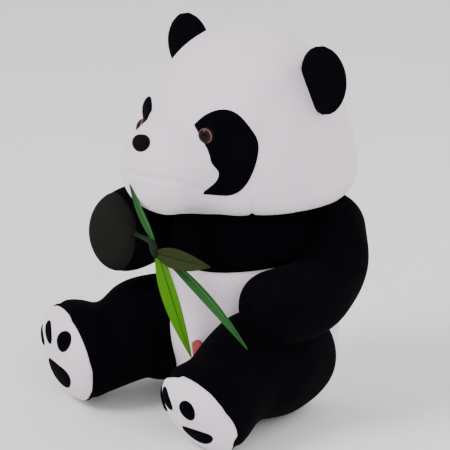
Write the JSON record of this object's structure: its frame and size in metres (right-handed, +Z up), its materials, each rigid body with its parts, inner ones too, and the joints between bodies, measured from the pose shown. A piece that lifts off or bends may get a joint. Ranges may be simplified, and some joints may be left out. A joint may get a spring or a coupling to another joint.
{
  "type": "plush panda",
  "caption": "Seated plush panda with a domed white head, black limbs with white soles, safety eyes and a sewn bamboo sprig held in one raised paw.",
  "frame": {"origin": "middle of the flat seat, on the surface that the toy rests on", "axes": "+Z up, -Y the way the face looks, +X the panda's own left"},
  "size_m": [0.222, 0.2121, 0.3],
  "materials": {
    "white_plush": "matte",
    "black_plush": "matte",
    "charcoal_plush": "matte",
    "stuffing": "matte",
    "eye_plastic": "gloss",
    "washer_plastic": "satin",
    "nose_flock": "matte",
    "red_tab": "matte",
    "leaf_light": "satin",
    "leaf_mid": "satin",
    "leaf_olive": "matte",
    "stem_green": "satin"
  },
  "bodies": {
    "torso": {"chest_cover": "black_plush", "belly_cover": "white_plush", "body_stuffing": "stuffing", "care_tab": "red_tab"},
    "head": {"head_cover": "white_plush", "head_stuffing": "stuffing", "muzzle": "white_plush", "nose": "nose_flock", "nose_washer": "washer_plastic", "eye_patch_left": "black_plush", "eye_patch_right": "black_plush", "eye_left": "eye_plastic", "eye_right": "eye_plastic", "eye_washer_left": "washer_plastic", "eye_washer_right": "washer_plastic"},
    "left_ear": {"ear_left": "black_plush"},
    "right_ear": {"ear_right": "black_plush"},
    "left_arm": {"arm_cover_left": "black_plush", "arm_stuffing_left": "stuffing"},
    "right_arm": {"arm_cover_right": "black_plush", "arm_stuffing_right": "stuffing", "paw_pad_right": "charcoal_plush", "bamboo_stem": "stem_green", "leaf_long": "leaf_light", "leaf_folded": "leaf_mid", "leaf_side": "leaf_olive", "leaf_top": "leaf_mid"},
    "left_leg": {"leg_cover_left": "black_plush", "leg_stuffing_left": "stuffing", "sole_left": "white_plush", "toe_pads_left": "black_plush", "heel_pad_left": "black_plush"},
    "right_leg": {"leg_cover_right": "black_plush", "leg_stuffing_right": "stuffing", "sole_right": "white_plush", "toe_pads_right": "black_plush", "heel_pad_right": "black_plush"}
  },
  "joints": [
    {"name": "head_turn", "type": "hinge", "parent": "torso", "child": "head", "pos_m": [0, 0, 0.166], "axis": [0, 0, 1], "range_deg": [0, 15], "stiffness_Nm_per_rad": 0.4},
    {"name": "ear_left_flex", "type": "hinge", "parent": "head", "child": "left_ear", "pos_m": [0.056, 0.005, 0.258], "axis": [-0.5812, 0, 0.8137], "range_deg": [-10, 10], "stiffness_Nm_per_rad": 0.05},
    {"name": "ear_right_flex", "type": "hinge", "parent": "head", "child": "right_ear", "pos_m": [-0.056, 0.005, 0.258], "axis": [0.5812, 0, 0.8137], "range_deg": [-10, 10], "stiffness_Nm_per_rad": 0.05},
    {"name": "arm_left_lift", "type": "hinge", "parent": "torso", "child": "left_arm", "pos_m": [0.062, 0.004, 0.138], "axis": [-1, 0, 0], "range_deg": [0, 15], "stiffness_Nm_per_rad": 0.3},
    {"name": "arm_right_out", "type": "hinge", "parent": "torso", "child": "right_arm", "pos_m": [-0.062, 0.004, 0.138], "axis": [0, 0, -1], "range_deg": [0, 12], "stiffness_Nm_per_rad": 0.3},
    {"name": "leg_left_splay", "type": "hinge", "parent": "torso", "child": "left_leg", "pos_m": [0.05, -0.01, 0.05], "axis": [0, 0, 1], "range_deg": [0, 10], "stiffness_Nm_per_rad": 0.4},
    {"name": "leg_right_splay", "type": "hinge", "parent": "torso", "child": "right_leg", "pos_m": [-0.05, -0.01, 0.05], "axis": [0, 0, -1], "range_deg": [0, 10], "stiffness_Nm_per_rad": 0.4}
  ]
}
